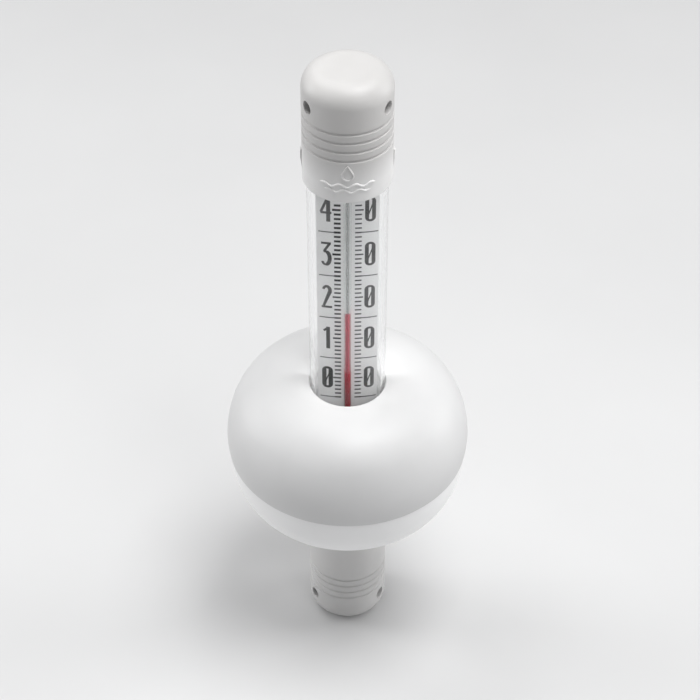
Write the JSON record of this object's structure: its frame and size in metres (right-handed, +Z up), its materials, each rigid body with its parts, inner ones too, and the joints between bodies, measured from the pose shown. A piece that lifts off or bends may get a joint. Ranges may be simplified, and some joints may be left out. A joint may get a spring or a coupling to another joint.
{
  "type": "floating pool thermometer",
  "caption": "Floating pool and pond thermometer: capped clear tube with a spirit thermometer on a scale card, in a round white float that slides along the tube.",
  "frame": {"origin": "centre of the bottom cap's flat end", "axes": "+Z up the tube's axis to the top cap; -Y is the way the scale faces; +X is to the reader's right"},
  "size_m": [0.0836, 0.0836, 0.24],
  "materials": {
    "cap_plastic": "light warm grey moulded plastic, satin gloss",
    "clear_tube": "clear and polished",
    "plug_plastic": "white moulded plastic",
    "seal_rubber": "black rubber",
    "ballast_steel": "zinc-plated steel",
    "card_plastic": "light grey printed card, satin",
    "capillary_glass": "clear and polished",
    "clip_wire": "drawn steel wire",
    "pad_foam": "closed-cell foam",
    "spirit_red": "red-dyed spirit",
    "float_plastic": "smooth white plastic, soft gloss"
  },
  "bodies": {
    "thermometer": {"outer_tube": "clear_tube", "top_cap": "cap_plastic", "bottom_cap": "cap_plastic", "top_plug": "plug_plastic", "bottom_plug": "plug_plastic", "top_o_ring": "seal_rubber", "bottom_o_ring": "seal_rubber", "stem_grommet": "seal_rubber", "ballast_ring": "ballast_steel", "card_holder_top": "plug_plastic", "card_holder_bottom": "plug_plastic", "scale_card": "card_plastic", "glass_stem": "capillary_glass", "stem_clips": "clip_wire", "stem_pad": "pad_foam", "bulb_spirit": "spirit_red"},
    "spirit": {"spirit_column": "spirit_red"},
    "grip": {"float_grip_rings": "seal_rubber"},
    "float": {"float_upper_shell": "float_plastic", "float_lower_shell": "float_plastic", "float_sleeve": "float_plastic"}
  },
  "joints": [
    {"name": "spirit_rise", "type": "slide", "parent": "thermometer", "child": "spirit", "axis": [0, 0, 1], "range_m": [-0.0396, 0.0512]},
    {"name": "float_slide", "type": "slide", "parent": "thermometer", "child": "grip", "axis": [0, 0, 1], "range_m": [0, 0.086]},
    {"name": "float_turn", "type": "hinge", "parent": "grip", "child": "float", "pos_m": [0, 0, 0.0849], "axis": [0, 0, 1], "continuous": true}
  ]
}
